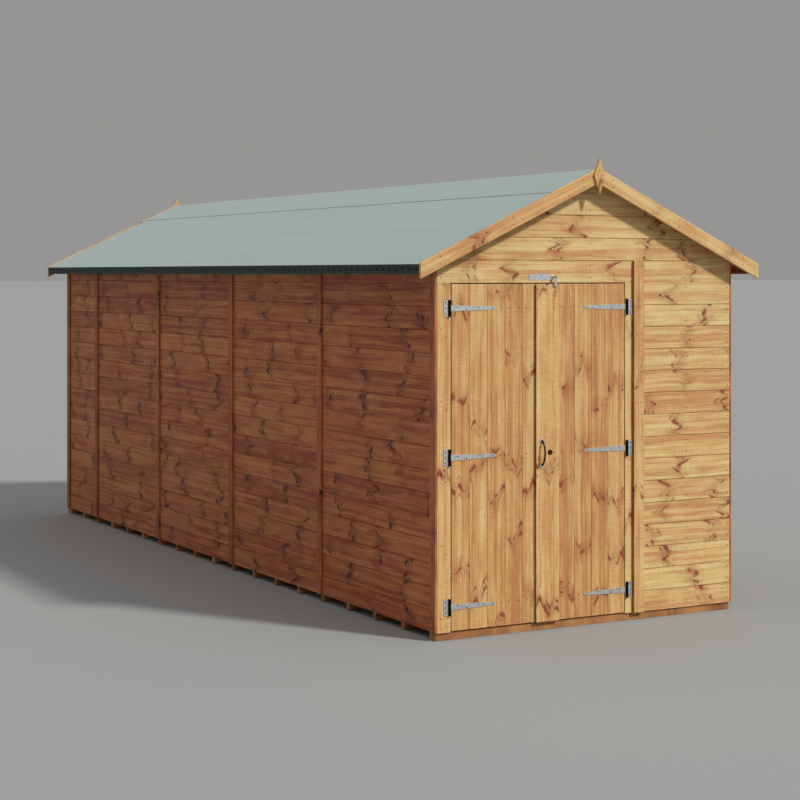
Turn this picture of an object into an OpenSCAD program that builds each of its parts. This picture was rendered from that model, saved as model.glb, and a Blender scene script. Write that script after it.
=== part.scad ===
// Garden shed with a ridged roof and double doors in the front gable.
// Units are millimetres. +Z is up, +X runs across the gable, and the doors face -Y.
// The origin is on the ground under the middle of the building.

/* [Building] */
// Width over the side walls' outer faces
wall_w = 1790; // [1600:10:2400]
// Length over the gable walls' outer faces
wall_l = 5400; // [3600:10:7300]
// Height of the roof's outer edge above the ground
eaves_z = 1799; // [1763:4:2203]
// Pitch of the roof in degrees
pitch = 25; // [15:1:35]

/* [Floor] */
// Number of cross bearers
bearer_count = 19; // [11:1:25]
// Height of a bearer
bearer_h = 38; // [28:1:60]
// Width of a bearer
bearer_w = 28; // [22:1:60]
// Width of the bearer at each end
end_bearer_w = 58; // [28:1:80]
// Distance from the wall's outer face to the bearers' ends
bearer_inset = 10; // [4:1:12]
// Thickness of the floor boards
floor_t = 12; // [9:1:22]

/* [Walls] */
// Thickness of the cladding boards
clad_t = 12; // [9:0.5:18]
// Thickness of the corner trims and cover battens
trim_t = 12; // [9:1:20]
// Width of a corner trim
corner_w = 51; // [40:1:80]
// Width of a cover batten over a panel joint
cover_w = 48; // [36:1:70]
// Number of full panels in a side wall, besides the half panel at the rear
panels = 4; // [2:1:5]
// Distance from the front gable's outer face to the first panel
front_lap = 71; // [40:1:100]
// Distance from the half panel to the rear gable's outer face
rear_lap = 41; // [40:1:100]
// Width of a stud or rail
stud_w = 34; // [28:1:50]
// Depth of a stud or rail behind the cladding
stud_d = 28; // [22:1:45]

/* [Doorway] */
// Width of the upright boards left of the doors, with the corner trim
left_post_w = 87; // [80:1:160]
// Clear width of the doorway
door_open_w = 1023; // [841:2:1081]
// Width of the upright boards between the doors and the door batten
right_post_w = 45; // [42:1:80]
// Height of the door head above the ground
head_z = 1710; // [1620:2:1722]
// Running gap round and between the doors
door_gap = 5; // [5:0.5:8]
// Width of the upright batten beside the doors
batten_w = 63; // [45:1:90]
// Thickness of the upright batten beside the doors
batten_t = 16; // [12:1:20]
// Height of that batten above the door head
batten_rise = 112; // [40:2:130]

/* [Doors] */
// Height of a door ledge
ledge_h = 95; // [70:1:120]
// Thickness of a door ledge or brace
ledge_t = 22; // [16:1:28]
// Distance from a door's edge to its ledges
ledge_inset = 40; // [35:1:60]
// The same distance at the right door's meeting edge, with room for the lock
lock_inset = 64; // [60:1:120]
// Width of the meeting board on the right door
meet_w = 134; // [110:1:140]
// Thickness of the meeting board
meet_t = 14; // [12:0.5:20]
// How far the meeting board laps the left door
meet_lap = 30; // [15:1:40]
// Diameter of the lock hole
lock_d = 29; // [16:1:32]

/* [Hinges] */
// Length of a hinge strap from its pin
strap_l = 260; // [200:5:400]
// Height of a hinge strap at its pin
strap_h = 30; // [24:1:40]
// Height of a hinge strap at its tip
strap_tip = 15; // [10:1:24]
// Thickness of the hinge metal
hinge_t = 2.5; // [2:0.5:4]
// Width of a hinge's fixed plate
plate_w = 24; // [18:1:28]
// Height of a hinge's fixed plate
plate_h = 80; // [60:1:110]
// Diameter of a hinge knuckle
knuckle_d = 12; // [8:0.5:13]
// Distance from a door's hinge edge to the pin
pin_out = 13.5; // [12:0.5:16]

/* [Fittings] */
// Height of the pull handle over its foot plates
handle_h = 146; // [110:2:200]
// How far the handle stands out
handle_out = 32; // [26:1:45]
// Diameter of the handle's bar
handle_d = 9; // [7:0.5:12]
// Length of the turn button
button_l = 58; // [50:1:64]
// Width of the turn button
button_w = 14; // [10:1:16]
// Thickness of the turn button
button_t = 4; // [2:0.5:6]
// Diameter of the boss that the turn button pivots on
button_boss = 10; // [6:0.5:10]
// Width of the blank plate over the doors
label_w = 138; // [80:1:160]
// Height of the blank plate over the doors
label_h = 30; // [20:1:40]

/* [Roof] */
// Overhang of the roof beyond the side walls
side_over = 121; // [60:1:160]
// Overhang of the roof beyond the gable walls
end_over = 60; // [40:1:100]
// Thickness of the roof boards
roof_t = 12; // [9:1:18]
// Gap between the roof boards and what carries them
roof_gap = 0.1; // [0:0.05:0.5]
// Thickness of one layer of roofing felt
felt_t = 2.5; // [2:0.5:4]
// Distance down the slope that the ridge strip covers
ridge_strip = 283; // [150:1:450]
// Height of the felt-covered eaves edge
eaves_h = 46; // [40:1:70]
// Thickness of the eaves battens
eaves_t = 24; // [18:1:35]
// Upright height of a bargeboard
barge_h = 76; // [60:1:120]
// Thickness of a bargeboard
barge_t = 16; // [12:1:22]
// How far the bargeboards stand above the felt
barge_rise = 7; // [0:1:20]
// Width of a finial
finial_w = 67; // [50:1:100]
// Height of a finial
finial_h = 183; // [140:1:240]
// Height of a finial's top above the ridge
finial_rise = 55; // [30:1:80]
// Thickness of a finial
finial_t = 12; // [9:1:18]
// Width of the ridge beam and the purlins
beam_w = 28; // [22:1:50]
// Depth of the ridge beam and the purlins
beam_h = 58; // [44:1:80]

/* [Hidden] */
$fn = 48;

slope = tan(pitch);
upright = 1 / cos(pitch);
half_w = wall_w / 2;
half_l = wall_l / 2;
panel_l = (wall_l - front_lap - rear_lap) / (panels + 0.5);
roof_hw = half_w + side_over;
clad_x = half_w - trim_t;
stud_x = clad_x - clad_t;
room_x = stud_x - stud_d;
stud_y = half_l - clad_t;
room_y = stud_y - stud_d;
floor_z = bearer_h + floor_t;
roof_y = half_l + end_over;
barge_y = roof_y + barge_t;
ridge_z = eaves_z + roof_hw * slope;
board_top = -felt_t * upright;
board_low = board_top - roof_t * upright;
seat = board_low - roof_gap;
edge_x = roof_hw - felt_t;

door_x0 = -half_w + left_post_w;
door_x1 = door_x0 + door_open_w;
post_x = door_x1 + right_post_w;
batten_x = post_x + batten_w;
leaf_w = (door_open_w - 3 * door_gap) / 2;
leaf_z0 = bearer_h + door_gap;
leaf_z1 = head_z - door_gap;
leaf_h = leaf_z1 - leaf_z0;
left_pin = door_x0 + door_gap - pin_out;
right_pin = door_x1 - door_gap + pin_out;
pin_y = -half_l - knuckle_d / 2 - 0.5;
meet_x0 = door_x1 - door_gap - leaf_w - door_gap - meet_lap;
left_ledge_x = door_x0 + door_gap + ledge_inset;
right_ledge_x = door_x1 - door_gap - ledge_inset;
hinge_z = [leaf_z0 + 115, leaf_z0 + leaf_h / 2, leaf_z1 - 116];
lock_x = meet_x0 + 81;
lock_z = leaf_z0 + leaf_h / 2;
handle_x = meet_x0 + 34;
button_x = meet_x0 + 109;
button_z = head_z + 31;
button_out = meet_t + door_gap;

// Height of a line that runs parallel to the roof's top, at a distance x from the ridge
function roof_z(x, lift) = ridge_z + lift - abs(x) * slope;

// Where the i-th joint between the panels of a side wall lies
function joint_y(i) = front_lap - half_l + i * panel_l;

// Extrudes an outline in X and Z along Y
module along_y(y0, y1, points) {
    translate([0, y1, 0])
        rotate([90, 0, 0])
            linear_extrude(y1 - y0)
                polygon(points);
}

module block(x0, x1, y0, y1, z0, z1) {
    translate([x0, y0, z0])
        cube([x1 - x0, y1 - y0, z1 - z0]);
}

// A strip under the roof whose top follows the slope, from x0 outwards to x1
module under_roof(side, x0, x1, y0, y1, z0) {
    along_y(y0, y1, [
        [side * x0, z0],
        [side * x1, z0],
        [side * x1, roof_z(x1, seat)],
        [side * x0, roof_z(x0, seat)]
    ]);
}

// A sheet that lies along one slope between two lines parallel to the roof's top
module slope_sheet(side, x0, x1, y0, y1, low, high) {
    along_y(y0, y1, [
        [side * x0, roof_z(x0, low)],
        [side * x1, roof_z(x1, low)],
        [side * x1, roof_z(x1, high)],
        [side * x0, roof_z(x0, high)]
    ]);
}

module floor_bearers() {
    x = half_w - bearer_inset;
    y0 = half_l - bearer_inset;
    first = y0 - end_bearer_w / 2;
    color("#8a5a34") {
        for (s = [-1, 1])
            block(-x, x, s * first - end_bearer_w / 2, s * first + end_bearer_w / 2, 0, bearer_h);
        for (i = [1 : bearer_count - 2]) {
            y = -first + 2 * first * i / (bearer_count - 1);
            block(-x, x, y - bearer_w / 2, y + bearer_w / 2, 0, bearer_h);
        }
    }
}

module floor_boards() {
    color("#c9935a")
        block(-stud_x, stud_x, -stud_y + door_gap, stud_y, bearer_h, floor_z);
}

module side_boards(side) {
    color("#a8683c")
        under_roof(side, stud_x, clad_x, -stud_y, stud_y, bearer_h);
}

module left_wall_boards() {
    side_boards(-1);
}

module right_wall_boards() {
    side_boards(1);
}

module gable_outline(y0, y1, z0) {
    along_y(y0, y1, [
        [-clad_x, z0],
        [clad_x, z0],
        [clad_x, roof_z(clad_x, seat)],
        [0, roof_z(0, seat)],
        [-clad_x, roof_z(clad_x, seat)]
    ]);
}

module rear_wall_boards() {
    color("#a8683c")
        gable_outline(stud_y, half_l, bearer_h);
}

module front_gable_boards() {
    color("#c98a4c")
        gable_outline(-half_l, -stud_y, head_z);
}

module front_panel_boards() {
    color("#c98a4c")
        block(post_x, clad_x, -half_l, -stud_y, bearer_h, head_z);
}

module door_posts() {
    color("#b97842") {
        block(-clad_x, door_x0, -half_l, -stud_y, bearer_h, head_z);
        block(door_x1, post_x, -half_l, -stud_y, bearer_h, head_z);
    }
}

module side_rails(side) {
    top_z = roof_z(stud_x, seat) - 2 * stud_w;
    color("#b98656") {
        along_y(-stud_y, stud_y, [
            [side * room_x, floor_z],
            [side * stud_x, floor_z],
            [side * stud_x, floor_z + stud_w],
            [side * room_x, floor_z + stud_w]
        ]);
        under_roof(side, room_x, stud_x, -stud_y, stud_y, top_z);
    }
}

// Each panel has a stud at both edges and one in its middle
module side_studs(side) {
    top_z = roof_z(stud_x, seat) - 2 * stud_w;
    x0 = side > 0 ? room_x : -stud_x;
    color("#b98656") {
        block(x0, x0 + stud_d, -stud_y, -stud_y + stud_w, floor_z + stud_w, top_z);
        block(x0, x0 + stud_d, stud_y - stud_w, stud_y, floor_z + stud_w, top_z);
        for (i = [1 : panels]) {
            y = joint_y(i);
            block(x0, x0 + stud_d, y - stud_w, y + stud_w, floor_z + stud_w, top_z);
            m = y - panel_l / 2;
            block(x0, x0 + stud_d, m - stud_w / 2, m + stud_w / 2, floor_z + stud_w, top_z);
        }
    }
}

module left_wall_rails() {
    side_rails(-1);
}

module left_wall_studs() {
    side_studs(-1);
}

module right_wall_rails() {
    side_rails(1);
}

module right_wall_studs() {
    side_studs(1);
}

module rear_wall_rails() {
    top_z = roof_z(stud_x, seat) - 2 * stud_w;
    color("#b98656") {
        block(-room_x, room_x, room_y, stud_y, floor_z, floor_z + stud_w);
        block(-room_x, room_x, room_y, stud_y, top_z, top_z + stud_w);
    }
}

module rear_wall_studs() {
    top_z = roof_z(stud_x, seat) - 2 * stud_w;
    span = room_x - stud_w / 2;
    color("#b98656")
        for (i = [-2 : 2])
            block(
                i * span / 2 - stud_w / 2, i * span / 2 + stud_w / 2,
                room_y, stud_y, floor_z + stud_w, top_z
            );
}

module front_wall_rails() {
    color("#b98656") {
        block(door_x1 + stud_w, room_x, -stud_y + door_gap, -room_y, floor_z, floor_z + stud_w);
        block(-room_x, room_x, -stud_y, -room_y, head_z, head_z + stud_w);
    }
}

module front_wall_studs() {
    mid = (door_x1 + room_x) / 2;
    color("#b98656") {
        block(-room_x, door_x0, -stud_y, -room_y, floor_z, head_z);
        block(door_x1, door_x1 + stud_w, -stud_y, -room_y, floor_z, head_z);
        block(mid - stud_w / 2, mid + stud_w / 2, -stud_y, -room_y, floor_z + stud_w, head_z);
        block(room_x - stud_w, room_x, -stud_y, -room_y, floor_z + stud_w, head_z);
    }
}

// Sloping battens behind the gable boards, under the roof boards
module gable_rafters() {
    drop = seat - stud_w * upright;
    foot = (ridge_z + drop - head_z - stud_w) / slope;
    foot_x = min(foot, room_x);
    color("#b98656")
        for (side = [-1, 1], end = [-1, 1])
            slope_sheet(
                side, beam_w / 2, foot_x,
                end > 0 ? room_y : -stud_y, end > 0 ? stud_y : -room_y,
                drop, seat
            );
}

module corner_trims() {
    color("#b06f3e")
        for (side = [-1, 1]) {
            under_roof(side, clad_x, half_w, -half_l, -half_l + corner_w, bearer_h);
            under_roof(side, clad_x, half_w, half_l - corner_w, half_l, bearer_h);
        }
}

module cover_battens() {
    color("#b06f3e")
        for (side = [-1, 1], i = [1 : panels]) {
            y = joint_y(i);
            under_roof(side, clad_x, half_w, y - cover_w / 2, y + cover_w / 2, bearer_h);
        }
}

module door_batten() {
    color("#c98a4c")
        block(post_x, batten_x, -half_l - batten_t, -half_l, bearer_h, head_z + batten_rise);
}

module ridge_beam() {
    z0 = roof_z(0, seat) - beam_h;
    color("#b98656")
        along_y(-stud_y, stud_y, [
            [-beam_w / 2, z0],
            [beam_w / 2, z0],
            [beam_w / 2, roof_z(beam_w / 2, seat)],
            [0, roof_z(0, seat)],
            [-beam_w / 2, roof_z(beam_w / 2, seat)]
        ]);
}

// One purlin stands square to each slope at its middle
module roof_purlins() {
    mid = room_x / 2;
    near = mid - beam_w / 2 * cos(pitch);
    far = mid + beam_w / 2 * cos(pitch);
    in = beam_h * sin(pitch);
    down = beam_h * cos(pitch);
    color("#b98656")
        for (side = [-1, 1])
            along_y(-room_y, room_y, [
                [side * near, roof_z(near, seat)],
                [side * far, roof_z(far, seat)],
                [side * (far - in), roof_z(far, seat) - down],
                [side * (near - in), roof_z(near, seat) - down]
            ]);
}

module left_roof_boards() {
    color("#c9935a")
        slope_sheet(-1, 0, edge_x, -roof_y, roof_y, board_low, board_top);
}

module right_roof_boards() {
    color("#c9935a")
        slope_sheet(1, 0, edge_x, -roof_y, roof_y, board_low, board_top);
}

module left_roof_felt() {
    color("#8f9a96")
        slope_sheet(-1, 0, edge_x, -roof_y, roof_y, board_top, 0);
}

module right_roof_felt() {
    color("#8f9a96")
        slope_sheet(1, 0, edge_x, -roof_y, roof_y, board_top, 0);
}

module ridge_felt() {
    x1 = ridge_strip * cos(pitch);
    color("#9aa5a0")
        along_y(-roof_y, roof_y, [
            [0, roof_z(0, 0)],
            [x1, roof_z(x1, 0)],
            [x1, roof_z(x1, -board_top)],
            [0, roof_z(0, -board_top)],
            [-x1, roof_z(x1, -board_top)],
            [-x1, roof_z(x1, 0)]
        ]);
}

module eaves_battens() {
    color("#b98656")
        for (side = [-1, 1])
            under_roof(side, edge_x - eaves_t, edge_x, -roof_y, roof_y, eaves_z - eaves_h);
}

module eaves_felt() {
    color("#39413d")
        for (side = [-1, 1])
            along_y(-roof_y, roof_y, [
                [side * edge_x, eaves_z - eaves_h],
                [side * roof_hw, eaves_z - eaves_h],
                [side * roof_hw, eaves_z],
                [side * edge_x, roof_z(edge_x, 0)]
            ]);
}

module bargeboards(side) {
    color("#cf9352")
        for (end = [-1, 1])
            slope_sheet(
                side, 0, roof_hw,
                end > 0 ? roof_y : -barge_y, end > 0 ? barge_y : -roof_y,
                barge_rise - barge_h, barge_rise
            );
}

module left_bargeboards() {
    bargeboards(-1);
}

module right_bargeboards() {
    bargeboards(1);
}

// A finial covers the bargeboards' joint, and is widest a little above its middle
module finials() {
    low = ridge_z + finial_rise - finial_h;
    wide = low + finial_h * 0.53;
    color("#cf9352")
        for (y = [-barge_y - finial_t, barge_y])
            along_y(y, y + finial_t, [
                [0, low],
                [finial_w / 2, wide],
                [0, low + finial_h],
                [-finial_w / 2, wide]
            ]);
}

// Fixed leaf of a strap hinge; side is the way from the pin to the post
module hinge_plate(pin_x, side, z) {
    r = knuckle_d / 2;
    near = r + 0.5;
    y = -half_l;
    gap = 0.4;
    x0 = side > 0 ? pin_x + near : pin_x - near - plate_w;
    block(x0, x0 + plate_w, y - hinge_t, y, z - plate_h / 2, z + plate_h / 2);
    for (up = [-1, 1]) {
        z0 = up > 0 ? z + strap_h / 2 + gap : z - plate_h / 2;
        h = plate_h / 2 - strap_h / 2 - gap;
        translate([pin_x, pin_y, z0])
            cylinder(d = knuckle_d, h = h);
        x1 = side > 0 ? pin_x : pin_x - near;
        block(x1, x1 + near, y - hinge_t, y, z0, z0 + h);
    }
}

module hinge_plates() {
    color("#b9bcbb")
        for (z = hinge_z) {
            hinge_plate(left_pin, -1, z);
            hinge_plate(right_pin, 1, z);
        }
}

// Moving leaf of a strap hinge; side is the way from the pin to the tip
module strap(pin_x, side, z) {
    r = strap_tip / 2;
    translate([pin_x, -half_l, z])
        rotate([90, 0, 0])
            linear_extrude(hinge_t) {
                polygon([
                    [0, -strap_h / 2],
                    [side * (strap_l - r), -r],
                    [side * (strap_l - r), r],
                    [0, strap_h / 2]
                ]);
                translate([side * (strap_l - r), 0])
                    circle(r);
            }
    translate([pin_x, pin_y, z - strap_h / 2])
        cylinder(d = knuckle_d, h = strap_h);
}

module name_plate() {
    x = (door_x0 + door_x1) / 2;
    z = head_z + 28;
    color("#9d9c98")
        block(x - label_w / 2, x + label_w / 2, -half_l - 1.5, -half_l, z - label_h / 2, z + label_h / 2);
}

module left_door_boards() {
    x0 = door_x0 + door_gap;
    color("#c98a4c")
        block(x0, x0 + leaf_w, -half_l, -stud_y, leaf_z0, leaf_z1);
}

// The lock hole goes through the meeting board and the door boards
module lock_bore() {
    translate([lock_x, -stud_y + 1, lock_z])
        rotate([90, 0, 0])
            cylinder(d = lock_d, h = clad_t + meet_t + 2);
}

module right_door_boards() {
    x1 = door_x1 - door_gap;
    color("#c98a4c")
        difference() {
            block(x1 - leaf_w, x1, -half_l, -stud_y, leaf_z0, leaf_z1);
            lock_bore();
        }
}

// The back of the lap stands off the left door by the running gap
module meeting_board() {
    y = -half_l;
    edge = meet_x0 + meet_lap + door_gap;
    color("#cf9352")
        difference() {
            block(meet_x0, meet_x0 + meet_w, y - meet_t, y, leaf_z0, leaf_z1);
            block(meet_x0 - 1, edge, y - door_gap, y + 1, leaf_z0 - 1, leaf_z1 + 1);
            lock_bore();
        }
}

module door_ledges(x0, x1) {
    color("#b98656")
        for (z = hinge_z)
            block(x0, x1, -stud_y, -stud_y + ledge_t, z - ledge_h / 2, z + ledge_h / 2);
}

// A brace rises from the hinge side between each pair of ledges
module door_braces(x_low, x_high) {
    way = x_high > x_low ? 1 : -1;
    color("#b98656")
        for (i = [0, 1]) {
            z0 = hinge_z[i] + ledge_h / 2;
            z1 = hinge_z[i + 1] - ledge_h / 2;
            along_y(-stud_y, -stud_y + ledge_t, [
                [x_low, z0],
                [x_low + way * ledge_h, z0],
                [x_high, z1],
                [x_high - way * ledge_h, z1]
            ]);
        }
}

module left_door_ledges() {
    door_ledges(left_ledge_x, left_ledge_x + leaf_w - 2 * ledge_inset);
}

module left_door_braces() {
    door_braces(left_ledge_x, left_ledge_x + leaf_w - 2 * ledge_inset);
}

module left_door_straps() {
    color("#b9bcbb")
        for (z = hinge_z)
            strap(left_pin, 1, z);
}

module right_door_ledges() {
    door_ledges(right_ledge_x - leaf_w + lock_inset + ledge_inset, right_ledge_x);
}

module right_door_braces() {
    door_braces(right_ledge_x, right_ledge_x - leaf_w + lock_inset + ledge_inset);
}

module right_door_straps() {
    color("#b9bcbb")
        for (z = hinge_z)
            strap(right_pin, -1, z);
}

// A bowed bar on two round foot plates
module pull_handle() {
    foot = 12;
    foot_t = 3.5;
    rise = handle_h / 2 - foot;
    reach = handle_out - handle_d / 2 - foot_t;
    bow = (rise * rise + reach * reach) / (2 * reach);
    turn = asin(rise / bow);
    color("#c7c9ca")
        translate([handle_x, -half_l - meet_t, lock_z]) {
            for (s = [-1, 1])
                translate([0, 0, s * rise])
                    rotate([90, 0, 0])
                        cylinder(r = foot, h = foot_t);
            translate([0, bow - reach - foot_t, 0])
                rotate([0, 90, 0])
                    rotate([0, 0, 180])
                        rotate([0, 0, 90 - turn])
                            rotate_extrude(angle = 2 * turn)
                                translate([bow, 0])
                                    circle(d = handle_d);
        }
}

module turn_button() {
    r = button_w / 2;
    color("#c7c9ca")
        translate([button_x, -half_l, button_z]) {
            rotate([90, 0, 0])
                cylinder(d = button_boss, h = button_out + button_t);
            translate([0, -button_out, 0])
                rotate([90, 0, 0])
                    linear_extrude(button_t) {
                        translate([-r, 2 * r - button_l])
                            square([button_w, button_l - 2 * r]);
                        circle(r);
                        polygon([
                            [-r, 2 * r - button_l],
                            [0, r - button_l],
                            [r, 2 * r - button_l]
                        ]);
                    }
        }
}

floor_bearers();
floor_boards();
left_wall_boards();
right_wall_boards();
rear_wall_boards();
front_gable_boards();
front_panel_boards();
door_posts();
left_wall_rails();
left_wall_studs();
right_wall_rails();
right_wall_studs();
rear_wall_rails();
rear_wall_studs();
front_wall_rails();
front_wall_studs();
gable_rafters();
corner_trims();
cover_battens();
door_batten();
ridge_beam();
roof_purlins();
left_roof_boards();
right_roof_boards();
left_roof_felt();
right_roof_felt();
ridge_felt();
eaves_battens();
eaves_felt();
left_bargeboards();
right_bargeboards();
finials();
hinge_plates();
name_plate();
left_door_boards();
left_door_ledges();
left_door_braces();
left_door_straps();
right_door_boards();
meeting_board();
right_door_ledges();
right_door_braces();
right_door_straps();
pull_handle();
turn_button();
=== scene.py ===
import math
import random
import bmesh
import bpy
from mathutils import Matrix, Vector


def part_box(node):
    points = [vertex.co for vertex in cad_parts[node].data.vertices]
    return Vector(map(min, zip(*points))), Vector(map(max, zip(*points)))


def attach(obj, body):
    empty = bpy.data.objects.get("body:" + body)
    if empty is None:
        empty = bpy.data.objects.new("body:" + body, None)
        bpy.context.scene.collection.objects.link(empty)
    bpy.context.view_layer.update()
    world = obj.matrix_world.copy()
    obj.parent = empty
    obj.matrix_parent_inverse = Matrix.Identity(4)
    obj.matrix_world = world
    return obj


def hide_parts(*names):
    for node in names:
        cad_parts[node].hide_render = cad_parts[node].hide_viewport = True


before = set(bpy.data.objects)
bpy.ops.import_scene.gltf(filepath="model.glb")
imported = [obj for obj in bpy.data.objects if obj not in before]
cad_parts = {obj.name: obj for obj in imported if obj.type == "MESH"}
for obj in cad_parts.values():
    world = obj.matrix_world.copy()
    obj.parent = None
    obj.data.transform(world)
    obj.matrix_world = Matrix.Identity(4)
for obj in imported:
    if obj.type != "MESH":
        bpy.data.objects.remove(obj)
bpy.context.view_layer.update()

# ---------------------------------------------------------------- floor bearers
# Sawn softwood bearers lie across the building and carry the floor. They are dipped in
# the same golden stain as the walls, so the lit front one is honey brown and matt.


def linear(hex_colour):
    """An sRGB hex colour as linear RGBA."""
    channels = [int(hex_colour[i:i + 2], 16) / 255 for i in (1, 3, 5)]
    return [c / 12.92 if c <= 0.04045 else ((c + 0.055) / 1.055) ** 2.4 for c in channels] + [1.0]


def add(tree, kind, inputs=(), stops=(), **settings):
    """A shader node with its settings, its colour stops, and its values or links by socket."""
    made = tree.nodes.new(kind)
    for key, value in settings.items():
        setattr(made, key, value)
    for i, (place, colour) in enumerate(stops):
        ramp = made.color_ramp.elements
        element = ramp[i] if i < 2 else ramp.new(place)
        element.position, element.color = place, linear(colour)
    for socket, value in dict(inputs).items():
        if isinstance(value, bpy.types.NodeSocket):
            tree.links.new(value, made.inputs[socket])
        else:
            made.inputs[socket].default_value = value
    return made


def new_material(name):
    material = bpy.data.materials.new(name)
    material.use_nodes = True
    material.node_tree.nodes.clear()
    return material, material.node_tree


WHORL = 0.50    # metres of board between one whorl of branches and the next


def softwood(name, colours, knot, roughness, knotty=0.72):
    """Sawn or planed softwood: long streaks in four colours, crossed by whorls of knots.

    The grain attribute holds metres along, across and through the board, moved by chance
    from board to board. The tone attribute holds the board's shade, 0.5 on average.
    """
    material, tree = new_material(name)
    grain = add(tree, "ShaderNodeAttribute", attribute_name="grain").outputs["Vector"]
    tone = add(tree, "ShaderNodeAttribute", attribute_name="tone").outputs["Fac"]
    place = add(tree, "ShaderNodeSeparateXYZ", {0: grain})
    along, across = place.outputs["X"], place.outputs["Y"]

    # The whorl nearest along the board, and how far from it this point is
    steps = add(tree, "ShaderNodeMath", {0: along, 1: 1 / WHORL}, operation="MULTIPLY").outputs[0]
    whorl = add(tree, "ShaderNodeTexVoronoi", {
        "W": steps, "Scale": 1.0, "Randomness": 0.7}, voronoi_dimensions="1D")
    away = add(tree, "ShaderNodeMath", {
        0: steps, 1: whorl.outputs["W"]}, operation="SUBTRACT").outputs[0]
    away = add(tree, "ShaderNodeMath", {0: away, 1: WHORL}, operation="MULTIPLY").outputs[0]
    chance = add(tree, "ShaderNodeSeparateColor", {0: whorl.outputs["Color"]})
    there = add(tree, "ShaderNodeMath", {
        0: chance.outputs["Red"], 1: knotty}, operation="LESS_THAN").outputs[0]

    # The whorl crosses the board on a crooked line, dark for 1 to 4 mm
    row = add(tree, "ShaderNodeMath", {
        0: whorl.outputs["W"], 1: 7.3}, operation="MULTIPLY").outputs[0]
    turns = add(tree, "ShaderNodeMath", {
        0: across, 1: 14.0, 2: row}, operation="MULTIPLY_ADD").outputs[0]
    bend = add(tree, "ShaderNodeTexNoise", {
        "W": turns, "Scale": 1.0, "Detail": 1.0}, noise_dimensions="1D").outputs["Fac"]
    bend = add(tree, "ShaderNodeMath", {0: bend, 1: 0.5}, operation="SUBTRACT").outputs[0]
    line = add(tree, "ShaderNodeMath", {
        0: bend, 1: 0.16, 2: away}, operation="MULTIPLY_ADD").outputs[0]
    ragged = add(tree, "ShaderNodeTexNoise", {
        "Vector": add(tree, "ShaderNodeVectorMath", {
            0: grain, 1: (70.0, 130.0, 1.0)}, operation="MULTIPLY").outputs[0],
        "Scale": 1.0, "Detail": 3.0}).outputs["Fac"]
    ragged = add(tree, "ShaderNodeMath", {0: ragged, 1: 0.5}, operation="SUBTRACT").outputs[0]
    rough_line = add(tree, "ShaderNodeMath", {
        0: ragged, 1: 0.02, 2: line}, operation="MULTIPLY_ADD").outputs[0]
    rough_line = add(tree, "ShaderNodeMath", {0: rough_line}, operation="ABSOLUTE").outputs[0]
    link = add(tree, "ShaderNodeMapRange", {
        "Value": rough_line, "From Min": 0.0005, "From Max": 0.005,
        "To Min": 0.4, "To Max": 0.0}).outputs[0]

    # Branches cut across show on it as slanting ragged marks 10 to 45 mm wide
    shift = add(tree, "ShaderNodeMath", {0: row, 1: 9.0}, operation="MULTIPLY").outputs[0]
    cells = add(tree, "ShaderNodeCombineXYZ", {
        "X": add(tree, "ShaderNodeMath", {
            0: line, 1: 21.0, 2: shift}, operation="MULTIPLY_ADD").outputs[0],
        "Y": add(tree, "ShaderNodeMath", {
            0: across, 1: 17.0}, operation="MULTIPLY").outputs[0]}).outputs[0]
    branch = add(tree, "ShaderNodeTexVoronoi", {
        "Vector": cells, "Scale": 1.0, "Randomness": 0.8}, voronoi_dimensions="2D")
    girth = add(tree, "ShaderNodeSeparateColor", {0: branch.outputs["Color"]}).outputs["Red"]
    girth = add(tree, "ShaderNodeMapRange", {
        "Value": girth, "From Min": 0.15, "From Max": 1.0,
        "To Min": 0.001, "To Max": 0.55}).outputs[0]
    inside = add(tree, "ShaderNodeMath", {0: ragged, 1: 0.7, 2: branch.outputs["Distance"]},
        operation="MULTIPLY_ADD").outputs[0]
    inside = add(tree, "ShaderNodeMath", {0: inside, 1: girth}, operation="DIVIDE").outputs[0]
    mark = add(tree, "ShaderNodeMapRange", {
        "Value": inside, "From Min": 0.3, "From Max": 1.15, "To Min": 0.95, "To Max": 0.0},
        interpolation_type="SMOOTHSTEP").outputs[0]
    off = add(tree, "ShaderNodeMath", {0: line}, operation="ABSOLUTE").outputs[0]
    close = add(tree, "ShaderNodeMapRange", {
        "Value": off, "From Min": 0.03, "From Max": 0.055,
        "To Min": 1.0, "To Max": 0.0}).outputs[0]
    mark = add(tree, "ShaderNodeMath", {0: mark, 1: close}, operation="MULTIPLY").outputs[0]
    dark = add(tree, "ShaderNodeMath", {0: mark, 1: link}, operation="MAXIMUM").outputs[0]
    dark = add(tree, "ShaderNodeMath", {0: dark, 1: there}, operation="MULTIPLY").outputs[0]
    near = add(tree, "ShaderNodeMapRange", {
        "Value": off, "From Min": 0.0, "From Max": 0.075, "To Min": 1.0, "To Max": 0.0},
        interpolation_type="SMOOTHSTEP").outputs[0]
    near = add(tree, "ShaderNodeMath", {0: near, 1: there}, operation="MULTIPLY").outputs[0]

    # The grain bows by up to 20 mm to pass the branches
    bow = add(tree, "ShaderNodeMath", {0: bend, 1: near}, operation="MULTIPLY").outputs[0]
    bow = add(tree, "ShaderNodeMath", {0: bow, 1: 0.09}, operation="MULTIPLY").outputs[0]
    wander = add(tree, "ShaderNodeTexNoise", {
        "Vector": add(tree, "ShaderNodeVectorMath", {
            0: grain, 1: (1.6, 5.0, 1.0)}, operation="MULTIPLY").outputs[0],
        "Scale": 1.0, "Detail": 2.0}).outputs["Fac"]
    bow = add(tree, "ShaderNodeMath", {
        0: wander, 1: 0.03, 2: bow}, operation="MULTIPLY_ADD").outputs[0]
    sideways = add(tree, "ShaderNodeCombineXYZ", {"Y": bow}).outputs[0]
    bent = add(tree, "ShaderNodeVectorMath", {0: grain, 1: sideways}, operation="ADD").outputs[0]

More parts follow.
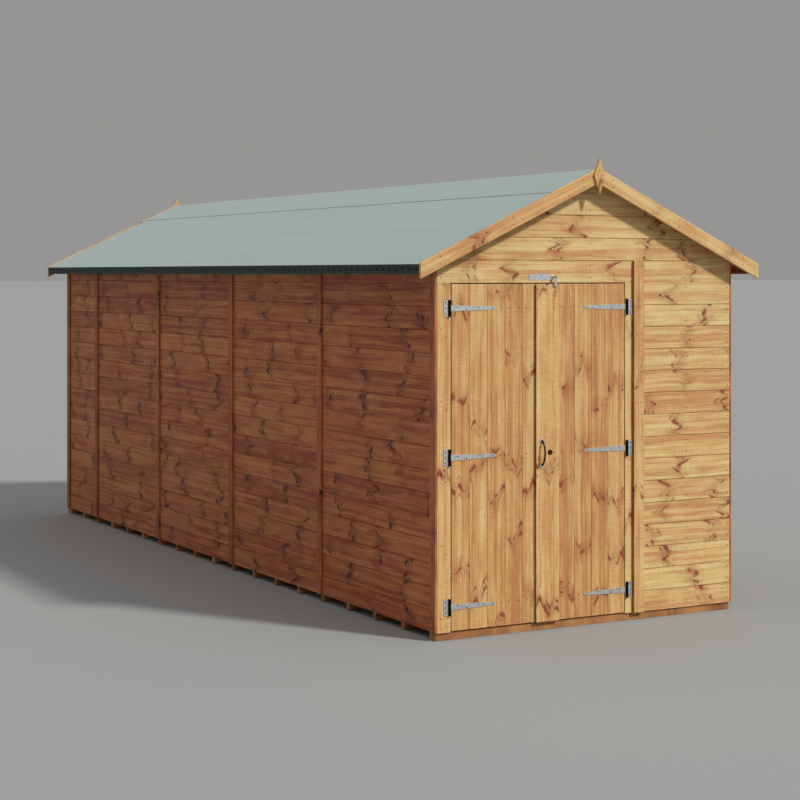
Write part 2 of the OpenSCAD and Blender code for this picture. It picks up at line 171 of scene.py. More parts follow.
    # Streaks about 20 mm wide and a metre long, with a grain of 5 mm in them (the real
    # growth rings are 2 mm apart, too fine to show), soft patches of stain, and saw marks
    # every 3 mm along the board
    streak = add(tree, "ShaderNodeTexNoise", {
        "Vector": add(tree, "ShaderNodeVectorMath", {
            0: bent, 1: (0.9, 48.0, 1.0)}, operation="MULTIPLY").outputs[0],
        "Scale": 1.0, "Detail": 3.0, "Roughness": 0.6}).outputs["Fac"]
    fine = add(tree, "ShaderNodeTexNoise", {
        "Vector": add(tree, "ShaderNodeVectorMath", {
            0: bent, 1: (6.0, 200.0, 1.0)}, operation="MULTIPLY").outputs[0],
        "Scale": 1.0, "Detail": 2.0}).outputs["Fac"]
    patch = add(tree, "ShaderNodeTexNoise", {
        "Vector": add(tree, "ShaderNodeVectorMath", {
            0: bent, 1: (5.0, 14.0, 1.0)}, operation="MULTIPLY").outputs[0],
        "Scale": 1.0, "Detail": 2.0}).outputs["Fac"]
    saw = add(tree, "ShaderNodeTexNoise", {
        "Vector": add(tree, "ShaderNodeVectorMath", {
            0: grain, 1: (300.0, 24.0, 1.0)}, operation="MULTIPLY").outputs[0],
        "Scale": 1.0, "Detail": 2.0}).outputs["Fac"]
    shade = add(tree, "ShaderNodeMath", {
        0: streak, 1: 1.2, 2: -0.555}, operation="MULTIPLY_ADD").outputs[0]
    shade = add(tree, "ShaderNodeMath", {
        0: fine, 1: 0.6, 2: shade}, operation="MULTIPLY_ADD").outputs[0]
    shade = add(tree, "ShaderNodeMath", {
        0: patch, 1: 0.55, 2: shade}, operation="MULTIPLY_ADD").outputs[0]
    shade = add(tree, "ShaderNodeMath", {
        0: tone, 1: 0.35, 2: shade}, operation="MULTIPLY_ADD").outputs[0]
    shades = list(zip((0.35, 0.62, 0.80, 1.0), colours))
    base = add(tree, "ShaderNodeValToRGB", {0: shade}, stops=shades).outputs[0]
    halo = add(tree, "ShaderNodeMath", {0: near, 1: patch}, operation="MULTIPLY").outputs[0]
    halo = add(tree, "ShaderNodeMath", {0: halo, 1: 0.5}, operation="MULTIPLY").outputs[0]
    base = add(tree, "ShaderNodeMix", {
        "Factor": halo, 6: base, 7: linear(knot)}, data_type="RGBA").outputs[2]
    base = add(tree, "ShaderNodeMix", {
        "Factor": dark, 6: base, 7: linear(knot)}, data_type="RGBA").outputs[2]
    worn = add(tree, "ShaderNodeMapRange", {
        "Value": saw, "From Min": 0.3, "From Max": 0.7, "To Min": 0.88, "To Max": 1.08}).outputs[0]
    base = add(tree, "ShaderNodeVectorMath", {0: base, 3: worn}, operation="SCALE").outputs[0]
    relief = add(tree, "ShaderNodeMath", {
        0: saw, 1: 0.5, 2: fine}, operation="MULTIPLY_ADD").outputs[0]
    bump = add(tree, "ShaderNodeBump", {
        "Height": relief, "Strength": 0.4, "Distance": 0.0006}).outputs[0]
    shader = add(tree, "ShaderNodeBsdfPrincipled", {
        "Base Color": base, "Roughness": roughness, "IOR": 1.5, "Normal": bump})
    add(tree, "ShaderNodeOutputMaterial", {"Surface": shader.outputs[0]})
    return material


random.seed(11)


def own_grain(bm):
    """Gives each board in the mesh its own stretch of wood along its longest edge."""
    bm.verts.index_update()
    grain = bm.verts.layers.float_vector.new("grain")
    tone = bm.verts.layers.float.new("tone")
    todo = dict.fromkeys(bm.verts)
    while todo:
        board, reached = [], [todo.popitem()[0]]
        while reached:
            vert = reached.pop()
            board.append(vert)
            for edge in vert.link_edges:
                other = edge.other_vert(vert)
                if other in todo:
                    del todo[other]
                    reached.append(other)
        board.sort(key=lambda v: v.index)
        longest = max(
            (e for v in board for e in v.link_edges), key=lambda e: round(e.calc_length(), 5))
        run = (longest.verts[1].co - longest.verts[0].co).normalized()
        widest = max(
            (f for v in board for f in v.link_faces), key=lambda f: round(f.calc_area(), 7))
        wide = widest.normal
        across = wide.cross(run).normalized()
        start = Vector((random.uniform(0, 90), random.uniform(0, 90), random.uniform(0, 90)))
        shade = random.gauss(0.5, 0.15)
        for vert in board:
            vert[grain] = start + Vector((vert.co.dot(run), vert.co.dot(across), vert.co.dot(wide)))
            vert[tone] = min(max(shade, 0.15), 0.85)


def piece(name, bm, materials, body, nodes=()):
    """Turns a mesh into a piece that rides on a body and stands for CAD nodes."""
    mesh = bpy.data.meshes.new(name)
    bm.to_mesh(mesh)
    bm.free()
    for material in materials:
        mesh.materials.append(material)
    made = bpy.data.objects.new(name, mesh)
    bpy.context.scene.collection.objects.link(made)
    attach(made, body)
    if nodes:
        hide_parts(*nodes)
    return made


SHARP = math.radians(30)    # edges that turn by more are arrises


def cad_mesh(node):
    """The node's solids with whole faces, ready to be worked on."""
    bm = bmesh.new()
    bm.from_mesh(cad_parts[node].data)
    bmesh.ops.remove_doubles(bm, verts=bm.verts, dist=1e-5)
    bmesh.ops.dissolve_limit(bm, angle_limit=math.radians(0.5), verts=bm.verts, edges=bm.edges)
    bm.normal_update()
    for edge in bm.edges:
        edge.smooth = edge.calc_face_angle(math.pi) < SHARP
    return bm


def ease(bm, width, shortest=0.015):
    """Rounds the arrises, but not small curves such as a hole's."""
    sharp = [
        e for e in bm.edges
        if len(e.link_faces) == 2 and e.calc_length() > shortest and e.calc_face_angle() > SHARP
    ]
    bmesh.ops.bevel(
        bm, geom=sharp, offset=width, segments=2, profile=0.5, affect="EDGES", clamp_overlap=True)


def timbers(name, node, material, body="shed", arris=0.0015, edges=None):
    """Planed or sawn timbers from a CAD node's solids; a second material, if given, goes on the
    faces that look sideways as painted shade.
    """
    bm = cad_mesh(node)
    ease(bm, arris)
    own_grain(bm)
    if edges:
        # Faces looking left or right take the second material, the darker copy painted as shade
        for face in bm.faces:
            face.material_index = int(abs(face.normal.x) > 0.7)
    return piece(name, bm, [material] + [edges] * bool(edges), body, [node])


# Sawn softwood dipped in golden stain: tan brown and matt, with faint knots
bearer_wood = softwood(
    "dipped_sawn_softwood_bearers", ("#C99A62", "#B98550", "#A36F42", "#8A5432"), "#5E3020", 0.8)
timbers("bearers", "floor_bearers", bearer_wood)

# ------------------------------------------------------------------ floor boards
# Tongued and grooved softwood boards are nailed across the bearers, with a fine joint
# every 100 mm. They carry no stain, so they are the palest wood of the building.

HALF_JOINT = 0.0003    # half the gap between two boards


def planks(
        name, node, material, step, direction, body="shed", arris=0.0025):
    """Cuts a CAD sheet across a direction into boards whose eased edges leave V joints."""
    sheet = cad_mesh(node)
    direction = Vector(direction)
    places = [v.co.dot(direction) for v in sheet.verts]
    low, high = min(places), max(places)
    count = round((high - low) / step)
    boards = bmesh.new()
    for i in range(count):
        board = sheet.copy()
        for end, side in ((i, -1), (i + 1, 1)):
            if 0 < end < count:
                edge = low + (high - low) * end / count - side * HALF_JOINT
                bmesh.ops.bisect_plane(
                    board, geom=board.verts[:] + board.edges[:] + board.faces[:],
                    plane_co=direction * edge, plane_no=direction * side, clear_outer=True)
                cut = [e for e in board.edges if e.is_boundary]
                bmesh.ops.holes_fill(board, edges=cut, sides=0)
        copy = bpy.data.meshes.new("board")
        board.to_mesh(copy)
        board.free()
        boards.from_mesh(copy)
        bpy.data.meshes.remove(copy)
    sheet.free()
    bmesh.ops.recalc_face_normals(boards, faces=boards.faces)
    boards.normal_update()
    ease(boards, arris)
    own_grain(boards)
    return piece(name, boards, [material], body, [node])


# Planed softwood with no stain: pale straw with tan streaks
bare_wood = softwood(
    "planed_softwood", ("#DCC08F", "#D0AC78", "#C19762", "#A9774A"), "#75452C", 0.6)
FLOOR_COVER = 0.1
planks("floor_planks", "floor_boards", bare_wood, FLOOR_COVER, (0, 1, 0))

# ------------------------------------------------------------------ wall framing
# Sawn softwood studs and rails stand behind the boards on all four walls. They are
# dipped with the panels, so they share their honey colour, but are rougher.

# Sawn softwood dipped in golden stain: honey brown and matt
frame_wood = softwood(
    "dipped_sawn_softwood", ("#D0A56A", "#C39259", "#B07B48", "#935A37"), "#663324", 0.75)
for node in (
        "left_wall_rails", "left_wall_studs", "right_wall_rails", "right_wall_studs",
        "rear_wall_rails", "rear_wall_studs", "front_wall_rails", "front_wall_studs",
        "gable_rafters", "ridge_beam", "roof_purlins", "eaves_battens"):
    timbers(node.replace("wall_", "framing_"), node, frame_wood)

# ---------------------------------------------------------------- shiplap walls
# Each wall is clad in planed softwood shiplap, 12 mm thick with a cover of 112 mm. A
# board's rebated foot laps the tongue of the board below and leaves a 3 mm dark joint.

# Planed softwood dipped in golden stain: honey with pale and orange streaks, low sheen
clad_wood = softwood(
    "dipped_shiplap_softwood", ("#DFCF9C", "#DCBF80", "#D2AA6E", "#C48C58"), "#883A1E", 0.55, 0.95)
# The same boards painted darker and redder for the long walls: painted shade, a shaded copy of the
# cladding's wood
shade_painted_side_wood = softwood(
    "shade_painted_shiplap_softwood", ("#D29256", "#C87D46", "#BC6B3A", "#9E4B2B"), "#4E1206",
    0.6, 1.0)
BOARD_COVER = 0.112
BOARD_T = 0.012
JOINT = 0.003
LIP = 0.005            # depth of the joint
TONGUE = 0.006         # how far a board reaches up behind the next
LAP_PLAY = 0.0004      # gap between the tongue and the rebated foot
TONGUE_PLAY = 0.001    # gap over the tongue
END_GAP = 0.0004       # each board stops this short of its panel's ends
PITCH = math.radians(25)
ROOF_CLEAR = 0.0002
ridge_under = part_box("left_roof_boards")[1].z - BOARD_T / math.cos(PITCH) - ROOF_CLEAR
head_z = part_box("door_posts")[1].z
foot_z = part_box("door_posts")[0].z
first_cover = (head_z - foot_z) % BOARD_COVER


def board_outline(cover, top):
    """Depth from the face and height, round one board's section from its front foot."""
    arris = 0.0012
    outline = [(arris, 0.0), (0.0, arris)]
    if top:
        outline += [(0.0, cover), (BOARD_T, cover)]
    else:
        outline += [
            (0.0, cover - JOINT - arris), (arris, cover - JOINT), (LIP, cover - JOINT),
            (LIP, cover + TONGUE), (BOARD_T, cover + TONGUE)]
    return outline + [
        (BOARD_T, TONGUE + TONGUE_PLAY), (LIP + LAP_PLAY, TONGUE + TONGUE_PLAY),
        (LIP + LAP_PLAY, 0.0)]


def courses(low, high):
    """The foot and the cover of each board in a wall from low to high."""
    z, cover = low, first_cover if low < foot_z + 0.01 else BOARD_COVER
    while z < high - 0.001:
        yield z, min(cover, high - z)
        z, cover = z + cover, BOARD_COVER


def shiplap(name, node, material, run, out, spans):
    """Boards on one wall: run is the way along it, out the way it faces."""
    low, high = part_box(node)
    face = max(low.dot(out), high.dot(out))
    bm = bmesh.new()
    for start, end in spans:
        for z, cover in courses(low.z, high.z):
            outline = board_outline(cover, z + cover > high.z - 0.001)
            rings = [
                [bm.verts.new(run * along + out * (face - depth) + Vector((0, 0, z + rise)))
                 for depth, rise in outline]
                for along in (start + END_GAP, end - END_GAP)
            ]
            for i in range(len(outline)):
                j = (i + 1) % len(outline)
                bm.faces.new((rings[0][i], rings[0][j], rings[1][j], rings[1][i]))
            bm.faces.new(rings[0])
            bm.faces.new(rings[1])
    for side in (-1, 1):
        bmesh.ops.bisect_plane(
            bm, geom=bm.verts[:] + bm.edges[:] + bm.faces[:], plane_co=(0, 0, ridge_under),
            plane_no=(side * math.sin(PITCH), 0, math.cos(PITCH)), clear_outer=True)
        cut = [e for e in bm.edges if e.is_boundary]
        bmesh.ops.holes_fill(bm, edges=cut, sides=0)
    bmesh.ops.recalc_face_normals(bm, faces=bm.faces)
    bm.normal_update()
    own_grain(bm)
    return piece(name, bm, [material], "shed", [node])


# The long walls are four full panels and a half one at the rear
FRONT_LAP = 0.071    # from the front face to where the panels are counted from
REAR_LAP = 0.041     # the same at the rear
FULL_PANELS = 4
side_low, side_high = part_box("left_wall_boards")
gable_low, gable_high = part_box("front_gable_boards")
rear_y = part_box("rear_wall_boards")[1].y
panel_l = (rear_y - gable_low.y - FRONT_LAP - REAR_LAP) / (FULL_PANELS + 0.5)
panel_joints = [gable_low.y + FRONT_LAP + panel_l * i for i in range(1, FULL_PANELS + 1)]
panel_ends = [side_low.y] + panel_joints + [side_high.y]
panel_spans = list(zip(panel_ends[:-1], panel_ends[1:]))
gable_span = [(gable_low.x, gable_high.x)]
panel_low, panel_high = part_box("front_panel_boards")
LEFT, RIGHT = Vector((-1, 0, 0)), Vector((1, 0, 0))
FRONT, REAR = Vector((0, -1, 0)), Vector((0, 1, 0))
# Both long walls take the painted shade copy of the cladding's wood
shiplap("left_shiplap", "left_wall_boards", shade_painted_side_wood, REAR, LEFT, panel_spans)
shiplap("right_shiplap", "right_wall_boards", shade_painted_side_wood, REAR, RIGHT, panel_spans)
shiplap("rear_shiplap", "rear_wall_boards", clad_wood, RIGHT, REAR, gable_span)
shiplap("gable_shiplap", "front_gable_boards", clad_wood, RIGHT, FRONT, gable_span)
shiplap(
    "panel_shiplap", "front_panel_boards", clad_wood, RIGHT, FRONT, [(panel_low.x, panel_high.x)])

# --------------------------------------------------- trims, battens and door posts
# Planed battens cover the walls' corners and panel joints, and a thicker one stands right
# of the doors. The door posts are upright boards of the same planed softwood.

# Planed softwood dipped in golden stain: a shade lighter than the cladding, low sheen
trim_wood = softwood(
    "dipped_planed_softwood", ("#DDC88E", "#DAB87A", "#D2A66A", "#C48C58"), "#883A1E", 0.5, 0.7)
# The same battens painted darker and redder as painted shade: on the long walls, and on the
# sideways faces of the door batten and meeting board
shade_painted_trim_wood = softwood(
    "shade_painted_planed_softwood", ("#C6844C", "#BE7442", "#B06639", "#8E4C2D"), "#4E1206",
    0.6, 0.5)
timbers("corner_battens", "corner_trims", shade_painted_trim_wood)
timbers("joint_battens", "cover_battens", shade_painted_trim_wood)
# The door batten's sideways faces take the painted shade copy
timbers(
    "door_side_batten", "door_batten", trim_wood, arris=0.002,
    edges=shade_painted_trim_wood)
timbers("post_boards", "door_posts", trim_wood)

# ------------------------------------------------------------------- roof boards
# Softwood boards run the length of each slope on the purlins, jointed every 120 mm. They
# are planed and carry no stain, like the floor, and show only from inside.
ROOF_COVER = 0.12
for side, way in (("right", 1), ("left", -1)):
    down_slope = (way * math.cos(PITCH), 0, -math.sin(PITCH))
    planks(side + "_roof_planks", side + "_roof_boards", bare_wood, ROOF_COVER, down_slope)

# ------------------------------------------------------------------- roofing felt
# Bitumen felt with a mineral face covers the slopes, and a ridge strip laps it on both
# sides. The felt is folded down over the eaves, where clout nails hold it.


def felt_material(name, face, fleck, roughness):
    """Bitumen felt: a matt mineral face with flecks and faint marks along the roll.

    The real grit is about 1 mm. It is drawn at 3 mm, as coarse as it needs to show.
    """
    material, tree = new_material(name)
    place = add(tree, "ShaderNodeNewGeometry").outputs["Position"]
    grit = add(tree, "ShaderNodeTexNoise", {
        "Vector": place, "Scale": 320.0, "Detail": 3.0, "Roughness": 0.7}).outputs["Fac"]
    roll = add(tree, "ShaderNodeTexNoise", {
        "Vector": add(tree, "ShaderNodeVectorMath", {
            0: place, 1: (14.0, 0.8, 14.0)}, operation="MULTIPLY").outputs[0],
        "Scale": 1.0, "Detail": 3.0}).outputs["Fac"]
    mix = add(tree, "ShaderNodeMath", {
        0: roll, 1: 0.15, 2: grit}, operation="MULTIPLY_ADD").outputs[0]
    colour = add(tree, "ShaderNodeValToRGB", {
        0: mix}, stops=[(0.4, fleck), (0.75, face)]).outputs[0]
    bump = add(tree, "ShaderNodeBump", {
        "Height": grit, "Strength": 0.35, "Distance": 0.0008}).outputs[0]
    shader = add(tree, "ShaderNodeBsdfPrincipled", {
        "Base Color": colour, "Roughness": roughness, "IOR": 1.45, "Normal": bump})
    add(tree, "ShaderNodeOutputMaterial", {"Surface": shader.outputs[0]})
    return material


def dress(node, material):
    """Gives a CAD node's own mesh a finished material."""
    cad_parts[node].data.materials.clear()
    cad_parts[node].data.materials.append(material)


# Mineral-faced bitumen felt: pale grey-green and dead matt
mineral_felt = felt_material("mineral_bitumen_felt", "#AFBEBA", "#95A39F", 0.95)
for node in ("left_roof_felt", "right_roof_felt", "ridge_felt"):
    dress(node, mineral_felt)
# The folded edge shows the dark bitumen with little mineral left on it
dark_felt = felt_material("dark_bitumen_felt", "#3A4A43", "#26332E", 0.8)
CLOUT_RISE = 0.001    # height of the clout nails' heads
fold = cad_mesh("eaves_felt")
eaves_x = max(v.co.x for v in fold.verts)
for vert in fold.verts:    # the outer face stands back by that height
    if abs(vert.co.x) > eaves_x - 0.0001:
        vert.co.x -= math.copysign(CLOUT_RISE, vert.co.x)
piece("felt_folds", fold, [dark_felt], "shed", ["eaves_felt"])

# ---------------------------------------------------------- bargeboards and finials
# Planed boards close the ends of the roof, with a plumb joint at the ridge that a
# diamond-shaped finial covers. Both are nailed on and stained like the battens.
timbers("left_barges", "left_bargeboards", trim_wood, arris=0.002)
timbers("right_barges", "right_bargeboards", trim_wood, arris=0.002)
NAIL_RISE = 0.0003    # height of the wire nails' heads
diamonds = cad_mesh("finials")
finial_y = max(v.co.y for v in diamonds.verts)
for vert in diamonds.verts:    # the outer face stands back by that height
    if abs(vert.co.y) > finial_y - 0.0001:
        vert.co.y -= math.copysign(NAIL_RISE, vert.co.y)
ease(diamonds, 0.002)
own_grain(diamonds)
piece("diamond_finials", diamonds, [trim_wood], "shed", ["finials"])

# ------------------------------------------------------------------------- doors
# Each leaf is five tongued and grooved boards with V joints, nailed to three ledges and
# two braces. The right leaf carries the proud meeting board with the lock hole.

# Planed softwood dipped in golden stain: a shade browner than the cladding, low sheen
door_wood = softwood(
    "dipped_matchboard_softwood", ("#D8BE88", "#D2A96C", "#C89458", "#B67A4A"), "#8A3A20",
    0.55, 1.0)
DOOR_COVER = 0.1
for side in ("left", "right"):
    body = side + "_door"
    planks(
        body + "_planks", body + "_boards", door_wood, DOOR_COVER, (1, 0, 0), body,
        0.0022)
    timbers(body + "_ledge_timbers", body + "_ledges", frame_wood, body)
    timbers(body + "_brace_timbers", body + "_braces", frame_wood, body)
# The meeting board's sideways faces take the painted shade copy
timbers(
    "meeting_strip", "meeting_board", trim_wood, "right_door", 0.002,
    shade_painted_trim_wood)

# ------------------------------------------------------------------- nail heads
# Every board is held by wire nails with 6 mm heads, driven nearly flush in pairs at the
# frame behind it. Their dull heads show as small brown dots.


def heads(name, places, radius, rise, material, body="shed"):
    """Low domed heads, each given by where it sits and the way it faces."""
    bm = bmesh.new()
    for place, out in places:
        side = out.orthogonal().normalized()
        up = out.cross(side)
        rim = [
            bm.verts.new(place + side * (radius * math.cos(a)) + up * (radius * math.sin(a)))
            for a in (math.tau * i / 8 for i in range(8))
        ]
        top = bm.verts.new(place + out * rise)
        for i in range(8):
            bm.faces.new((rim[i], rim[(i + 1) % 8], top))
    bm.normal_update()
    for face in bm.faces:
        face.smooth = True
    return piece(name, bm, [material], body)


def metal(name, colour, roughness, spangle):
    """Bare or plated metal whose shade and roughness vary in patches of about 8 mm."""
    material, tree = new_material(name)
    place = add(tree, "ShaderNodeNewGeometry").outputs["Position"]
    patches = add(tree, "ShaderNodeTexNoise", {
        "Vector": place, "Scale": 120.0, "Detail": 4.0, "Roughness": 0.7}).outputs["Fac"]
    rough = add(tree, "ShaderNodeMapRange", {
        "Value": patches, "To Min": roughness * (1 - spangle),
        "To Max": roughness * (1 + spangle)}).outputs[0]
    shade = add(tree, "ShaderNodeMapRange", {
        "Value": patches, "From Min": 0.45, "From Max": 0.65, "To Min": 1.0,
        "To Max": 1 - spangle}).outputs[0]
    tinted = add(tree, "ShaderNodeVectorMath", {
        0: linear(colour)[:3], 3: shade}, operation="SCALE").outputs[0]
    shader = add(tree, "ShaderNodeBsdfPrincipled", {
        "Base Color": tinted, "Metallic": 1.0, "Roughness": rough})
    add(tree, "ShaderNodeOutputMaterial", {"Surface": shader.outputs[0]})
    return material


# Wire nails weathered in stained wood: dull brown steel
nail_steel = metal("weathered_nail_steel", "#3C281C", 0.6, 0.3)
NAIL_R = 0.0032
NAIL_PAIR = (0.026, 0.086)    # heights of a board's two nails above its foot
NAIL_IN = 0.042               # from a panel's end to the nails in its end stud
CORNER_X = 0.862              # from the middle of the building to the nails by its corners
RIGHT_X = CORNER_X + 0.006    # the same at the front right corner
STUD_X = 0.43                 # to the nails in the rear wall's studs
JAMB_X = 0.60                 # to the nails in the stud right of the doors
EAVES_GAP = 0.06              # no nails this close under the long walls' tops
SLOPE_GAP = 0.05              # nor this close under the slopes
wall_nails = []
for face_x, out in ((side_low.x, LEFT), (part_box("right_wall_boards")[1].x, RIGHT)):
    for start, end in panel_spans:
        for y in (start + NAIL_IN, (start + end) / 2, end - NAIL_IN):
            for z, cover in courses(foot_z, side_high.z - EAVES_GAP):
                wall_nails += [
                    (Vector((face_x, y, z + rise)), out) for rise in NAIL_PAIR if rise < cover]
for face_y, out, low, high, spots in (
        (gable_low.y, FRONT, head_z, ridge_under, (-CORNER_X, 0.0, RIGHT_X)),
        (rear_y, REAR, foot_z, ridge_under, (-CORNER_X, -STUD_X, 0.0, STUD_X, CORNER_X)),
        (gable_low.y, FRONT, foot_z, head_z, (JAMB_X, RIGHT_X))):
    for x in spots:
        under_roof = ridge_under - abs(x) * math.tan(PITCH) - SLOPE_GAP
        for z, cover in courses(low, min(high, under_roof)):
            wall_nails += [
                (Vector((x, face_y, z + rise)), out) for rise in NAIL_PAIR if rise < cover]
heads("wall_nails", wall_nails, NAIL_R, NAIL_RISE, nail_steel)

# The trims are nailed too: pairs up the thick batten, two staggered rows up the left door
# post, one row up each joint batten, three pairs in each bargeboard, one in each finial
BATTEN_ROWS = (0.016, 0.047)    # from the thick batten's left edge to a pair's nails
POST_X = -0.835                 # the row on the post next to the one by the corner
POST_STEP = 0.345               # between one pair and the next, on batten and post
JOINT_STEP = 0.33               # between the nails on a joint batten
BARGE_X = (0.09, 0.5, 0.91)     # from the ridge, across, to a bargeboard's pairs
BARGE_DROPS = (0.02, 0.054)     # below a bargeboard's upper edge
FINIAL_WIDEST = 0.53            # how far up a finial it is widest
FINIAL_X = (-0.014, 0.014)
trim_nails = []
batten_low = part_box("door_batten")[0]
for i in range(6):
    z = foot_z + 0.03 + POST_STEP * i
    trim_nails += [(Vector((batten_low.x + u, batten_low.y, z)), FRONT) for u in BATTEN_ROWS]
    trim_nails += [
        (Vector((-CORNER_X, gable_low.y, z + 0.04)), FRONT),
        (Vector((POST_X, gable_low.y, z)), FRONT)]
cover_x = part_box("cover_battens")[1].x
for y in panel_joints:
    for out in (LEFT, RIGHT):
        trim_nails += [
            (out * cover_x + Vector((0, y, foot_z + 0.06 + JOINT_STEP * i)), out) for i in range(5)]
barge_low, barge_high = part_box("right_bargeboards")
for end, out in ((barge_low.y, FRONT), (barge_high.y, REAR)):
    for x in BARGE_X:
        edge_z = barge_high.z - x * math.tan(PITCH)
        for side in (-1, 1):
            trim_nails += [(Vector((side * x, end, edge_z - drop)), out) for drop in BARGE_DROPS]
finial_low, finial_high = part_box("finials")
wide_z = finial_low.z + FINIAL_WIDEST * (finial_high.z - finial_low.z)
for end, out in ((finial_low.y, FRONT), (finial_high.y, REAR)):
    trim_nails += [(Vector((x, end, wide_z)) - out * NAIL_RISE, out) for x in FINIAL_X]
heads("trim_nails", trim_nails, NAIL_R, NAIL_RISE, nail_steel)

# The doors' boards are nailed to the three ledges. Where the meeting board covers a nail,
# one through its own face stands instead
LEDGE_IN = 0.047                # from the outer ledges' edges to their middles
BOARD_NAILS = (0.022, 0.078)    # from a door board's edge to its two nails
strip_low, strip_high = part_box("meeting_board")
for side in ("left", "right"):
    body = side + "_door"
    leaf_low, leaf_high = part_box(body + "_boards")
    ledge_low, ledge_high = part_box(body + "_ledges")
    board_w = (leaf_high.x - leaf_low.x) / 5
    nails = []
    for z in (ledge_low.z + LEDGE_IN, (ledge_low.z + ledge_high.z) / 2, ledge_high.z - LEDGE_IN):
        for i in range(5):
            for u in BOARD_NAILS:
                x = leaf_low.x + board_w * i + u
                if not strip_low.x - 0.01 < x < strip_high.x + 0.004:
                    nails.append((Vector((x, leaf_low.y, z)), FRONT))
                elif side == "right" and abs(x - (strip_high.x - 0.014)) < 0.03:
                    nails.append((Vector((strip_high.x - 0.03, strip_low.y, z)), FRONT))
    heads(body + "_nails", nails, NAIL_R, NAIL_RISE, nail_steel, body)

# Clout nails on the eaves felt: broad flat heads gone dark, 66 mm apart
clout_steel = metal("dark_clout_nails", "#0E0F0E", 0.5, 0.2)
CLOUT_R = 0.009
CLOUT_STEP = 0.066
eaves_low, eaves_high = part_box("eaves_felt")
clout_count = int((eaves_high.y - eaves_low.y - 0.04) / CLOUT_STEP) + 1
clouts = [
    (out * (eaves_high.x - CLOUT_RISE)
     + Vector((0, eaves_low.y + 0.03 + CLOUT_STEP * i, (eaves_low.z + eaves_high.z) / 2)), out)
    for out in (LEFT, RIGHT) for i in range(clout_count)
]
heads("eaves_clouts", clouts, CLOUT_R, CLOUT_RISE, clout_steel)

# ---------------------------------------------------------------- hinges and fittings
# The strap hinges are pressed from steel strip and galvanised, with knuckles painted near black as
# a painted dark reflection. The pull handle has plated feet and a bow painted dark brown as a
# painted dark reflection, and the plate over the doors is blank.

# Hot-dip galvanised steel: pale grey spangle, half matt
galvanised = metal("galvanised_steel", "#E2E4E4", 0.47, 0.5)
# Hinge knuckles painted nearly black as a painted dark reflection, and blackened screws: nearly
# black, with a dull shine
knuckle_reflection_steel = metal("painted_reflection_knuckles", "#1C1A18", 0.45, 0.2)
screw_steel = metal("dark_screw_heads", "#2A241F", 0.5, 0.2)
# Bright zinc plating: a clear silvery shine
plated = metal("bright_plated_steel", "#F4F4F2", 0.33, 0.2)
# Polished steel painted dark brown as a painted dark reflection, with a clear highlight
bow_reflection_steel = metal("painted_reflection_bow_steel", "#3A2A20", 0.25, 0.2)
KNUCKLE_R = 0.006
PIN_R = 0.0075    # faces nearer than this to a pin's middle are its knuckle's
pin_x = (
    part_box("left_door_straps")[0].x + KNUCKLE_R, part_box("right_door_straps")[1].x - KNUCKLE_R)


def fittings(name, node, body, chosen):
    """A CAD node's own metal, with the knuckles round the pins painted darker as a painted dark
    reflection.
    """
    bm = cad_mesh(node)
    for face in bm.faces:
        x = face.calc_center_median().x
        if any(abs(x - p) < PIN_R for p in chosen):
            face.material_index = 1
    return piece(name, bm, [galvanised, knuckle_reflection_steel], body, [node])


fittings("hinge_plate_set", "hinge_plates", "shed", pin_x)
fittings("left_strap_set", "left_door_straps", "left_door", pin_x[:1])
fittings("right_strap_set", "right_door_straps", "right_door", pin_x[1:])
bow = cad_mesh("pull_handle")
handle_low, handle_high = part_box("pull_handle")
foot_y = handle_high.y - 0.004    # in front of the handle's feet
# The bow's faces, in front of the feet, take the painted dark reflection
for face in bow.faces:
    face.material_index = int(face.calc_center_median().y < foot_y)
piece("bowed_pull", bow, [plated, bow_reflection_steel], "right_door", ["pull_handle"])
dress("turn_button", plated)
dress("name_plate", galvanised)

# Three screws hold each hinge plate, and four each strap, a little off its middle line
plate_low, plate_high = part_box("hinge_plates")
PLATE_HALF = 0.04    # half a hinge plate's height
hinge_z = (plate_low.z + PLATE_HALF, (handle_low.z + handle_high.z) / 2, plate_high.z - PLATE_HALF)
steel_y = gable_low.y - 0.0025    # the face of the 2.5 mm steel
SCREW_IN = 0.009     # from a plate's outer edge to its screws
SCREW_R = 0.0035
SCREW_RISE = 0.001
PLATE_SCREWS = (-0.027, 0.0, 0.027)
STRAP_SCREWS = ((0.045, 0.006), (0.095, -0.006), (0.165, 0.004), (0.243, 0.0))
plate_screws, strap_screws = [], {"left": [], "right": []}
for z in hinge_z:
    for x in (plate_low.x + SCREW_IN, plate_high.x - SCREW_IN):
        plate_screws += [(Vector((x, steel_y, z + rise)), FRONT) for rise in PLATE_SCREWS]
    for side, way, pin in (("left", 1, pin_x[0]), ("right", -1, pin_x[1])):
        strap_screws[side] += [
            (Vector((pin + way * run, steel_y, z + rise)), FRONT) for run, rise in STRAP_SCREWS]
heads("plate_screws", plate_screws, SCREW_R, SCREW_RISE, screw_steel)
for side, places in strap_screws.items():
    heads(side + "_strap_screws", places, SCREW_R, SCREW_RISE, screw_steel, side + "_door")
BUTTON_DROP = 0.011    # from the button's top to the screw that it turns on
button_low, button_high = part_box("turn_button")
button_place = Vector((
    (button_low.x + button_high.x) / 2, button_low.y - 0.0001, button_high.z - BUTTON_DROP))
heads("button_screw", [(button_place, FRONT)], 0.0045, SCREW_RISE, screw_steel, "turn_button")
LABEL_IN = 0.007       # from the plate's ends to its two small screws
label_low, label_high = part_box("name_plate")
label_z = (label_low.z + label_high.z) / 2
heads("label_screws", [
    (Vector((x, label_low.y, label_z)), FRONT)
    for x in (label_low.x + LABEL_IN, label_high.x - LABEL_IN)], 0.003, 0.0008, screw_steel)

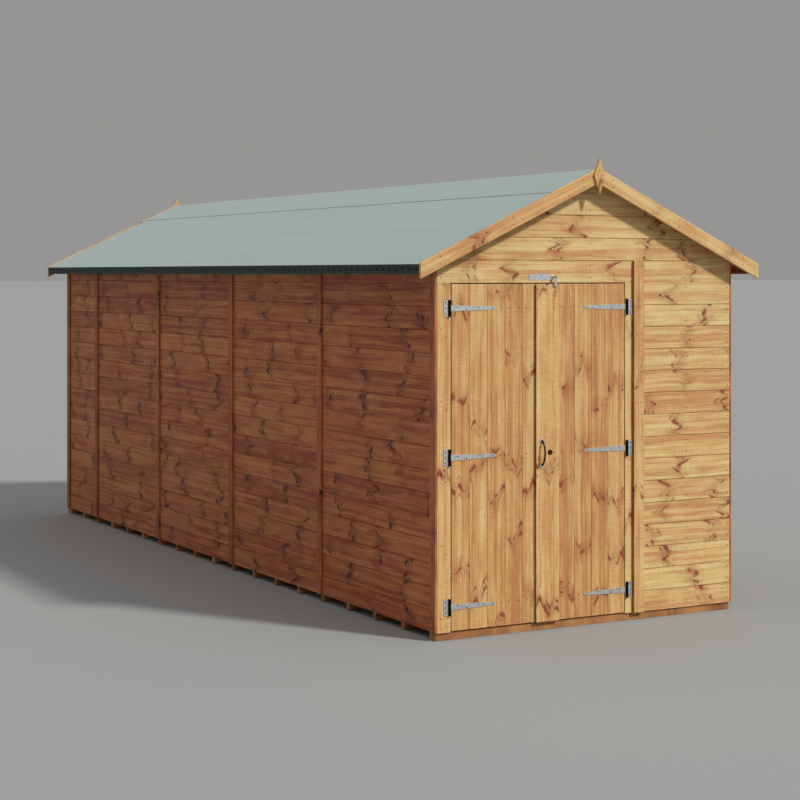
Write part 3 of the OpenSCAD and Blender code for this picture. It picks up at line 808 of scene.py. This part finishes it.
# ------------------------------------------------------------ floor, light and camera
# A plain pale floor, an even grey surround, a sun-like lamp from the front right and a
# broad soft one overhead.
FLOOR_HALF = 400.0    # metres
ground = bmesh.new()
bmesh.ops.create_grid(ground, x_segments=1, y_segments=1, size=FLOOR_HALF)
ground_mesh = bpy.data.meshes.new("studio_floor")
ground.to_mesh(ground_mesh)
ground.free()
# Painted concrete: plain pale grey and dead matt
floor_material, tree = new_material("pale_studio_floor")
shader = add(tree, "ShaderNodeBsdfPrincipled", {
    "Base Color": linear("#949696"), "Roughness": 0.95})
add(tree, "ShaderNodeOutputMaterial", {"Surface": shader.outputs[0]})
ground_mesh.materials.append(floor_material)
ground_object = bpy.data.objects.new("studio_floor", ground_mesh)
bpy.context.scene.collection.objects.link(ground_object)

scene = bpy.context.scene
scene.view_settings.view_transform = "Standard"
world = bpy.data.worlds.new("studio")
world.use_nodes = True
surround = world.node_tree.nodes["Background"]
surround.inputs["Color"].default_value = linear("#F6F5F2")
surround.inputs["Strength"].default_value = 0.33
scene.world = world

for name, strength, spread, colour, way in (
        ("key_lamp", 2.8, 6, (1.0, 0.985, 0.95), (-0.398, 0.657, -0.640)),
        ("overhead_lamp", 0.75, 90, (1.0, 1.0, 1.0), (0, 0, -1))):
    lamp = bpy.data.lights.new(name, "SUN")
    lamp.energy, lamp.angle, lamp.color = strength, math.radians(spread), colour
    lamp_object = bpy.data.objects.new(name, lamp)
    lamp_object.rotation_euler = Vector(way).to_track_quat("-Z", "Y").to_euler()
    scene.collection.objects.link(lamp_object)

# The camera stands level at eye height, ahead and to the left of the front left corner
corner_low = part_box("corner_trims")[0]
front_left = Vector((corner_low.x, corner_low.y, 0))
camera = bpy.data.cameras.new("camera")
camera.sensor_width = 36.0
camera.lens = 82.5
camera.shift_y = -0.1579
camera.clip_end = 1000.0
camera_object = bpy.data.objects.new("camera", camera)
camera_object.location = front_left + Vector((-4.3664, -7.5613, 1.7549))
camera_object.rotation_euler = (math.radians(90), 0, math.radians(-28.914))
scene.collection.objects.link(camera_object)
scene.camera = camera_object
